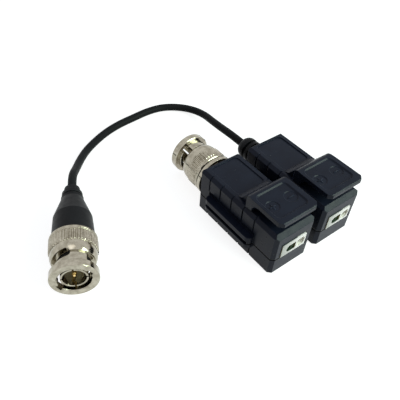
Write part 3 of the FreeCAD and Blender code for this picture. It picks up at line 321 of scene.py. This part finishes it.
def make_finishes():
    """One material for each of the record's slots."""
    black = (0.0066, 0.0086, 0.0172)
    black_light = (0.0095, 0.0126, 0.024)
    rubber = (0.0045, 0.0048, 0.006)
    rubber_light = (0.0075, 0.008, 0.0098)
    nickel = (0.45, 0.42, 0.345)
    nickel_dull = (0.26, 0.235, 0.18)
    return {
        "housing_plastic": moulded_plastic("housing_plastic", black, black_light,
                                           seam=PARTING_HEIGHT),
        "lever_plastic": moulded_plastic("lever_plastic", black, black_light, (0.25, 0.35),
                                         edge=0.2),
        "terminal_plastic": terminal_plastic("terminal_plastic"),
        "spring_steel": plated_metal("spring_steel", (0.62, 0.62, 0.6), (0.5, 0.5, 0.48)),
        "contact_brass": plated_metal("contact_brass", (0.8, 0.74, 0.55), (0.66, 0.58, 0.38)),
        "board_laminate": board_laminate("board_laminate"),
        "ferrite": ceramic("ferrite", (0.04, 0.04, 0.045), 0.55),
        "copper_wire": wound_copper("copper_wire"),
        "chip_plastic": ceramic("chip_plastic", (0.02, 0.02, 0.02), 0.4),
        "chip_ceramic": ceramic("chip_ceramic", (0.5, 0.36, 0.2), 0.45),
        "lead_insulation": cord_rubber("lead_insulation", (0.5, 0.03, 0.02), (0.62, 0.05, 0.03)),
        "lead_insulation_dark": cord_rubber("lead_insulation_dark", black, black_light),
        "nickel": plated_metal("nickel", nickel, nickel_dull),
        "insulator_plastic": ceramic("insulator_plastic", (0.72, 0.7, 0.6), 0.35),
        "gold_pin": plated_metal("gold_pin", (0.95, 0.72, 0.34), (0.84, 0.58, 0.24), (0.14, 0.26),
                                 0.08),
        "gasket_rubber": cord_rubber("gasket_rubber", (0.02, 0.02, 0.02), (0.03, 0.03, 0.03)),
        "boot_rubber": cord_rubber("boot_rubber", rubber, rubber_light),
        "cord_sheath": cord_rubber("cord_sheath", (0.011, 0.0112, 0.0125), (0.014, 0.0142, 0.0155),
                                   (0.34, 0.46), 0.03),
    }


def dress_nodes(frame, finishes):
    """Give every CAD node the finish of its slot."""
    for part in frame["record"]["subparts"]:
        paint(frame["nodes"][part["node"]], finishes[part["material_slot"]])


def paint(item, material):
    item.data.materials.clear()
    item.data.materials.append(material)


# Camera and cord

def make_camera():
    """The camera that the photograph was fitted to."""
    azimuth, elevation, roll = (math.radians(angle) for angle in
                                (CAMERA_AZIMUTH, CAMERA_ELEVATION, CAMERA_ROLL))
    back = Vector((math.sin(azimuth) * math.cos(elevation),
                   -math.cos(azimuth) * math.cos(elevation), math.sin(elevation)))
    level = Vector((math.cos(azimuth), math.sin(azimuth), 0))
    upright = back.cross(level)
    across = level * math.cos(roll) + upright * math.sin(roll)
    upward = upright * math.cos(roll) - level * math.sin(roll)
    data = bpy.data.cameras.new("camera")
    data.sensor_width = SENSOR_WIDTH
    data.lens = SENSOR_WIDTH * FOCAL_PIXELS / PHOTO_WIDTH
    data.shift_x = (PHOTO_WIDTH / 2 - PICTURE_CENTRE[0]) / PHOTO_WIDTH
    data.shift_y = (PICTURE_CENTRE[1] - PHOTO_WIDTH / 2) / PHOTO_WIDTH
    data.clip_start = 0.002
    data.clip_end = 20
    camera = bpy.data.objects.new("camera", data)
    bpy.context.scene.collection.objects.link(camera)
    turn = Matrix((across, upward, back)).transposed().to_4x4()
    camera.matrix_world = Matrix.Translation(Vector(CAMERA_PLACE) * MM) @ turn
    bpy.context.scene.camera = camera


def make_cord(finishes):
    """The cable, as one smooth tube along its route."""
    curve = bpy.data.curves.new("cable", "CURVE")
    curve.dimensions = "3D"
    curve.bevel_depth = CORD_DIAMETER / 2 * MM
    curve.bevel_resolution = 8
    curve.resolution_u = 16
    curve.use_fill_caps = True
    spline = curve.splines.new("NURBS")
    spline.points.add(len(CORD_POINTS) - 1)
    for point, place in zip(spline.points, CORD_POINTS):
        point.co = (Vector(place) * MM).to_4d()
    spline.order_u = 3
    spline.use_endpoint_u = True
    cable = bpy.data.objects.new("cable", curve)
    bpy.context.scene.collection.objects.link(cable)
    curve.materials.append(finishes["cord_sheath"])
    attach(cable, "joined_units")
    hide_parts("cord")


# Solids of the scene's own

SHARP_ANGLE = 32


def skin(work, rings, matrix, closed=False):
    """Faces through rings of points. A closed skin runs on from its last ring to its first."""
    rows = [[work.verts.new(matrix @ Vector(place)) for place in ring] for ring in rings]
    pairs = list(zip(rows, rows[1:]))
    if closed:
        pairs.append((rows[-1], rows[0]))
    else:
        work.faces.new(rows[0])
        work.faces.new(rows[-1])
    for first, second in pairs:
        for number in range(len(first)):
            following = (number + 1) % len(first)
            work.faces.new((first[number], first[following], second[following], second[number]))


def loft(name, rings, matrix, closed=False):
    work = bmesh.new()
    skin(work, rings, matrix, closed)
    return as_object(name, work)


def as_object(name, work):
    """The work as an object in the scene, without shading that a copied mesh brought along."""
    bmesh.ops.recalc_face_normals(work, faces=work.faces)
    mesh = bpy.data.meshes.new(name)
    work.to_mesh(mesh)
    work.free()
    for stored in ("custom_normal", "sharp_face", "sharp_edge"):
        if stored in mesh.attributes:
            mesh.attributes.remove(mesh.attributes[stored])
    item = bpy.data.objects.new(name, mesh)
    bpy.context.scene.collection.objects.link(item)
    return item


def combine(item, tools, operation="DIFFERENCE"):
    """Cut the tools out of the piece, or join them to it, and drop them."""
    for tool in tools:
        change = item.modifiers.new(tool.name, "BOOLEAN")
        change.operation = operation
        change.solver = "EXACT"
        change.object = tool
    graph = bpy.context.evaluated_depsgraph_get()
    mesh = bpy.data.meshes.new_from_object(item.evaluated_get(graph))
    item.modifiers.clear()
    item.data = mesh
    for tool in tools:
        bpy.data.objects.remove(tool)


def put_in(item, node, body, slot, finishes):
    """Let the piece stand for the CAD node, smooth but for its sharp edges."""
    item.data.polygons.foreach_set("use_smooth", [True] * len(item.data.polygons))
    item.data.set_sharp_from_angle(angle=math.radians(SHARP_ANGLE))
    paint(item, finishes[slot])
    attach(item, body)
    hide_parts(node)


# Bayonet connectors, with depths in millimetres measured back from the front of the nut

NUT_OUTLINE_FRONT = [(4.95, 0.25), (5.2, 0.0), (7.0, 0.0), (7.25, 0.25), (7.25, 2.25), (7.0, 2.5),
                     (5.95, 2.5), (5.95, 6.1)]
NUT_SHOULDER = ((6.45, 6.1), (7.0, 9.2), 0.32)
NUT_OUTLINE_REAR = [(7.0, 9.5), (7.15, 9.5), (7.45, 9.8), (7.45, 13.4), (7.15, 13.7),
                    (7.15, 13.9), (7.4, 14.15), (7.4, 14.65), (7.15, 14.9), (4.75, 14.9),
                    (4.75, 13.0), (6.1, 13.0), (6.1, 9.6), (4.95, 9.6)]
KNURL_COUNT = 44
TOOTH_STEPS = 4
KNURL_SPAN = (9.5, 13.9)
KNURL_ROOT = 7.05
# Contact sleeve, barrel, flange, collar, groove and shank of the near connector's body.
BODY_OUTLINE = [(3.5, 0.8), (4.05, 0.8), (4.05, 7.4), (4.5, 7.4), (4.5, 10.5), (5.9, 10.5),
                (5.9, 11.4), (4.6, 11.4), (4.6, 15.2), (7.2, 15.2), (7.6, 15.6), (7.6, 16.95),
                (6.2, 16.95), (6.2, 18.5), (4.75, 18.5), (4.75, 24.0), (3.35, 24.0), (3.35, 6.2),
                (3.5, 6.2)]
BODY_STEPS = 96
# Slit in the contact sleeve and the two parts of an entry: radii, depths and half width.
SLIT = ((2.5, 4.3), (0.0, 5.6), 0.25)
SLEEVE_PHASE = 45
NOTCH = ((0.5, 5.75), (-1.0, 3.5), 1.15)
MOUTH = ((4.45, 7.6), (2.5, 6.0), 1.65)
# Curved slot: radii, depth at its start, how far it rises and turns, and half width.
SLOT_RADII = (4.45, 7.6)
SLOT_START = 4.6
SLOT_RISE = 1.2
SLOT_SWEEP = 106
SLOT_HALF = 1.1
SEAT_OVERSHOOT = 0.1
# Places and turns of the two nuts, and the angles of their first entries.
NEAR_PLACE = (NEAR_UNIT, 27.375, 8.5)
PLUG_PLACE = (-70.8, 0.06, 7.45)
PLUG_TURN = 154.25
NUTS = (("near", NEAR_PLACE, 0.0, 38), ("plug", PLUG_PLACE, PLUG_TURN, 60))


def connector_matrix(place, turn):
    """From a connector's millimetres to the scene."""
    return (Matrix.Translation(Vector(place) * MM) @ Matrix.Rotation(math.radians(turn), 4, "Z")
            @ Matrix.Scale(MM, 4))


def polar(radius, depth, angle, aside=0.0):
    """A place on the connector, at an angle that grows to the right from straight up."""
    turn = math.radians(angle)
    return (-radius * math.sin(turn) - aside * math.cos(turn), -depth,
            radius * math.cos(turn) - aside * math.sin(turn))


def nut_outline(shoulder_steps=6):
    """Radii and depths round the nut's wall, with its shoulder bulging a little."""
    (first_radius, first), (last_radius, last), bulge = NUT_SHOULDER
    shoulder = []
    for step in range(shoulder_steps + 1):
        share = step / shoulder_steps
        shoulder.append((first_radius + (last_radius - first_radius) * share
                         + bulge * 4 * share * (1 - share), first + (last - first) * share))
    return NUT_OUTLINE_FRONT + shoulder + NUT_OUTLINE_REAR


def knurled(radius, depth, number):
    """The radius there, cut down to the knurl's root in the second half of each tooth."""
    if number % TOOTH_STEPS < TOOTH_STEPS / 2 or not KNURL_SPAN[0] <= depth <= KNURL_SPAN[1]:
        return radius
    return min(radius, KNURL_ROOT)


def turned(name, outline, matrix, count, teeth=False):
    """A solid of revolution in that many steps, with the knurl's teeth where they are asked for."""
    rings = []
    for number in range(count):
        rings.append([polar(knurled(radius, depth, number) if teeth else radius, depth,
                            360 * number / count) for radius, depth in outline])
    return loft(name, rings, matrix, True)


def block(name, matrix, angle, radii, depths, half):
    """A straight-sided cutter that points away from the axis."""
    rings = []
    for depth in depths:
        rings.append([polar(radii[0], depth, angle, -half), polar(radii[1], depth, angle, -half),
                      polar(radii[1], depth, angle, half), polar(radii[0], depth, angle, half)])
    return loft(name, rings, matrix)


def curved_slot(matrix, angle, steps=24):
    """A cutter that winds round the axis as it goes back."""
    inner, outer = SLOT_RADII
    rings = []
    for step in range(steps + 1):
        middle = SLOT_START + SLOT_RISE * step / steps
        rings.append([polar(radius, middle + side * SLOT_HALF, angle + SLOT_SWEEP * step / steps)
                      for radius, side in ((inner, -1), (outer, -1), (outer, 1), (inner, 1))])
    return loft("slot", rings, matrix)


def round_seat(matrix, angle, steps=24):
    """The round hole that the slot ends in."""
    rings = []
    for radius in (SLOT_RADII[0] - SEAT_OVERSHOOT, SLOT_RADII[1] + SEAT_OVERSHOOT):
        ring = []
        for step in range(steps):
            turn = math.radians(360 * step / steps)
            ring.append(polar(radius, SLOT_START + SLOT_RISE + SLOT_HALF * math.sin(turn),
                              angle + SLOT_SWEEP, SLOT_HALF * math.cos(turn)))
        rings.append(ring)
    return loft("slot_end", rings, matrix)


def bayonet_tools(matrix, start):
    """Two entries opposite each other, each with its slot and seat."""
    tools = []
    for angle in (start, start + 180):
        tools += [block("notch", matrix, angle, *NOTCH), block("mouth", matrix, angle, *MOUTH),
                  curved_slot(matrix, angle), round_seat(matrix, angle)]
    return tools


def make_connectors(finishes):
    """Coupling nuts with their bayonet slots, and the near unit's metal body with its collar."""
    for unit, place, turn, start in NUTS:
        matrix = connector_matrix(place, turn)
        nut = turned(unit + "_nut_shell", nut_outline(), matrix, KNURL_COUNT * TOOTH_STEPS, True)
        combine(nut, bayonet_tools(matrix, start))
        put_in(nut, unit + "_coupling_nut", unit + "_nut", "nickel", finishes)
    matrix = connector_matrix(NEAR_PLACE, 0.0)
    metal = turned("near_metal_body", BODY_OUTLINE, matrix, BODY_STEPS)
    combine(metal, [block("slit", matrix, SLEEVE_PHASE + 90 * quarter, *SLIT)
                    for quarter in range(4)])
    put_in(metal, "near_connector_body", "joined_units", "nickel", finishes)


# Press levers: the CAD's own form with a narrower heel, and a recess and discs with sloping walls

UNIT_FRONT = -27.125
WELD = 0.001
PAD_TOP = 22.4
RECESS_FLOOR = 21.95
DISC_FLOOR = 21.7
# Left, right, front, rear and corner radius of the recess, and of the block that fills the old one.
RECESS = (-6.6, 6.0, 2.4, 13.4, 1.7)
FILLER = (-6.3, 6.3, 2.1, 13.3, 1.0)
FILLER_FLOOR = 21.5
# What is cut off each side of the heel, seen from above, and off the pad's front, from the side.
HEEL_CUT = ((7.7, 15.0), (6.1, 16.6), (6.1, 21.0), (9.0, 21.0), (9.0, 15.0))
HEEL_CUT_HEIGHTS = (17.05, 24.0)
EDGE_CUT = ((0.0, 21.84), (0.0, 22.6), (0.76, 22.6))
EDGE_CUT_REACH = 8.0
DISC_RADIUS = 2.3
MARK_PLACE_Y = 7.6
MARK_RISE = 0.2
MARK_SUNK = 0.05
MARK_LENGTH = 2.4
MARK_BREADTH = 0.5
MARK_TAPER = 0.6
# Name of each mark, its place across the lever and the angles of its bars.
MARKS = (("plus", -4.25, (0, 90)), ("minus", 3.25, (0,)))


def rounded_ring(left, right, front, rear, corner, height, steps=8):
    """The outline of a rectangle with round corners, at a height."""
    left, right, front, rear = left + corner, right - corner, front + corner, rear - corner
    ring = []
    for x, y, start in ((right, rear, 0), (left, rear, 90), (left, front, 180),
                        (right, front, 270)):
        for step in range(steps + 1):
            angle = math.radians(start + 90 * step / steps)
            ring.append((x + corner * math.cos(angle), y + corner * math.sin(angle), height))
    return ring


def disc_ring(x, radius, height, steps=48):
    """A circle round one of the marks, at a height."""
    ring = []
    for step in range(steps):
        angle = math.radians(360 * step / steps)
        ring.append((x + radius * math.cos(angle), MARK_PLACE_Y + radius * math.sin(angle), height))
    return ring


def lever_tools(matrix):
    """Cutters for the heel's two sides, the pad's front edge, the recess and the two discs."""
    tools = []
    for side in (-1, 1):
        heel = [[(x * side, y, height) for x, y in HEEL_CUT] for height in HEEL_CUT_HEIGHTS]
        tools.append(loft("heel_taper", heel, matrix))
    edge = [[(x, y, height) for y, height in EDGE_CUT] for x in (-EDGE_CUT_REACH, EDGE_CUT_REACH)]
    tools.append(loft("front_edge", edge, matrix))
    left, right, front, rear, corner = RECESS
    depth = PAD_TOP - RECESS_FLOOR
    recess = []
    for height, wider in ((RECESS_FLOOR, -depth), (PAD_TOP + depth, depth)):
        recess.append(rounded_ring(left - wider, right + wider, front - wider, rear + wider,
                                   corner + wider, height))
    tools.append(loft("recess", recess, matrix))
    depth = RECESS_FLOOR - DISC_FLOOR
    for _, x, _ in MARKS:
        disc = [disc_ring(x, DISC_RADIUS + wider, height)
                for height, wider in ((DISC_FLOOR, -depth), (RECESS_FLOOR + depth, depth))]
        tools.append(loft("disc", disc, matrix))
    return tools


def bar_mark(name, centre, angles):
    """Bars with sloping sides, one for each angle, that cross in the middle."""
    work = bmesh.new()
    half = MARK_LENGTH / 2
    breadth = MARK_BREADTH / 2
    for angle in angles:
        matrix = (Matrix.Translation(centre) @ Matrix.Rotation(math.radians(angle), 4, "Z")
                  @ Matrix.Scale(MM, 4))
        rings = []
        for height, scale in ((-MARK_SUNK, 1.0), (MARK_RISE, MARK_TAPER)):
            rings.append([(x * (half - breadth + breadth * scale), y * breadth * scale, height)
                          for x, y in ((-1, -1), (1, -1), (1, 1), (-1, 1))])
        skin(work, rings, matrix)
    return as_object(name, work)


def make_lever(unit, frame, finishes):
    """The CAD lever's own mesh, recut, with a raised mark in each of its discs."""
    low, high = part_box(unit + "_press_lever")
    matrix = (Matrix.Translation(Vector(((low.x + high.x) / 2, UNIT_FRONT * MM, 0)))
              @ Matrix.Scale(MM, 4))
    work = bmesh.new()
    work.from_mesh(frame["nodes"][unit + "_press_lever"].data)
    bmesh.ops.remove_doubles(work, verts=work.verts, dist=WELD * MM)
    lever = as_object(unit + "_lever_shell", work)
    filler = [rounded_ring(*FILLER, height) for height in (FILLER_FLOOR, PAD_TOP)]
    combine(lever, [loft("filler", filler, matrix)], "UNION")
    combine(lever, lever_tools(matrix))
    put_in(lever, unit + "_press_lever", unit + "_lever", "lever_plastic", finishes)
    for sign, x, angles in MARKS:
        centre = matrix @ Vector((x, MARK_PLACE_Y, DISC_FLOOR))
        mark = bar_mark("%s_%s_mark" % (unit, sign), centre, angles)
        paint(mark, finishes["lever_plastic"])
        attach(mark, unit + "_lever")


# Floor, sky and lamps, with lengths in metres

FLOOR_REACH = 3.0
FLOOR_DROP = 0.00002
FLOOR_BOUNCE = (0.42, 0.405, 0.37, 1)
FLOOR_SHADE = (0.35, 0.35, 0.35, 1)
FLOOR_GLOW = 0.86
WHITE = (1, 1, 1, 1)
SKY_LEFT = (0.18, 0.165, 0.145, 1)
SKY_RIGHT = (0.42, 0.48, 0.56, 1)
SKY_AXIS = (0.75, 0.1, 0.65)
SKY_SPAN = (-0.35, 0.75)
LAMP_TARGET = (-0.015, 0.01, 0.01)


def make_floor():
    """A pale floor. The camera and reflections see it as white, and the shadow stays on it."""
    mesh = bpy.data.meshes.new("floor")
    corners = [(x * FLOOR_REACH, y * FLOOR_REACH, 0)
               for x, y in ((-1, -1), (1, -1), (1, 1), (-1, 1))]
    mesh.from_pydata(corners, [], [(0, 1, 2, 3)])
    floor = bpy.data.objects.new("floor", mesh)
    bpy.context.scene.collection.objects.link(floor)
    floor.location.z = -FLOOR_DROP
    f = Finish("white_floor")
    plain = f.node("ShaderNodeBsdfDiffuse", Color=FLOOR_BOUNCE)
    shaded = f.node("ShaderNodeBsdfDiffuse", Color=FLOOR_SHADE)
    glow = f.node("ShaderNodeEmission", Color=WHITE, Strength=FLOOR_GLOW)
    white = f.tree.nodes.new("ShaderNodeAddShader")
    f.feed(white.inputs[0], shaded.outputs[0])
    f.feed(white.inputs[1], glow.outputs[0])
    f.show("Material Output", plain.outputs[0], white.outputs[0])
    f.tree.nodes.remove(f.shader)
    paint(floor, f.material)


def make_world():
    """A soft cool sky, darker and warmer on the left. The camera and reflections see white."""
    world = bpy.data.worlds.new("studio")
    bpy.context.scene.world = world
    world.use_nodes = True
    sky = Nodes(world.node_tree)
    place = sky.node("ShaderNodeTexCoord").outputs["Generated"]
    side = sky.dot(place, Vector(SKY_AXIS).normalized())
    share = sky.ramp(side, *SKY_SPAN, 0.0, 1.0, "SMOOTHSTEP")
    soft = sky.tree.nodes["Background"]
    sky.feed(soft.inputs["Color"], sky.blend(share, SKY_LEFT, SKY_RIGHT))
    soft.inputs["Strength"].default_value = 1.0
    white = sky.node("ShaderNodeBackground", Color=WHITE, Strength=1.0)
    sky.show("World Output", soft.outputs[0], white.outputs[0])


def add_lamp(name, direction, distance, size, radiance, colour):
    """A soft rectangular lamp that looks at the middle of the object."""
    data = bpy.data.lights.new(name, "AREA")
    data.shape = "RECTANGLE"
    data.size, data.size_y = size
    data.energy = radiance * math.pi * size[0] * size[1]
    data.color = colour
    lamp = bpy.data.objects.new(name, data)
    bpy.context.scene.collection.objects.link(lamp)
    towards = Vector(direction).normalized()
    lamp.location = Vector(LAMP_TARGET) + towards * distance
    lamp.rotation_euler = towards.to_track_quat("Z", "Y").to_euler()


def make_lights():
    add_lamp("front_lamp", direction=(0.45, -0.72, 0.5), distance=0.55, size=(0.42, 0.3),
             radiance=9.0, colour=(0.81, 1.0, 0.82))
    add_lamp("top_lamp", direction=(-0.1, 0.0, 1.0), distance=0.6, size=(0.3, 0.3),
             radiance=1.0, colour=(1.0, 0.98, 0.96))


def main():
    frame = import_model()
    bpy.context.scene.view_settings.view_transform = "Standard"
    make_camera()
    finishes = make_finishes()
    make_connectors(finishes)
    make_cord(finishes)
    dress_nodes(frame, finishes)
    for unit in UNITS:
        make_lever(unit, frame, finishes)
    make_floor()
    make_world()
    make_lights()


main()
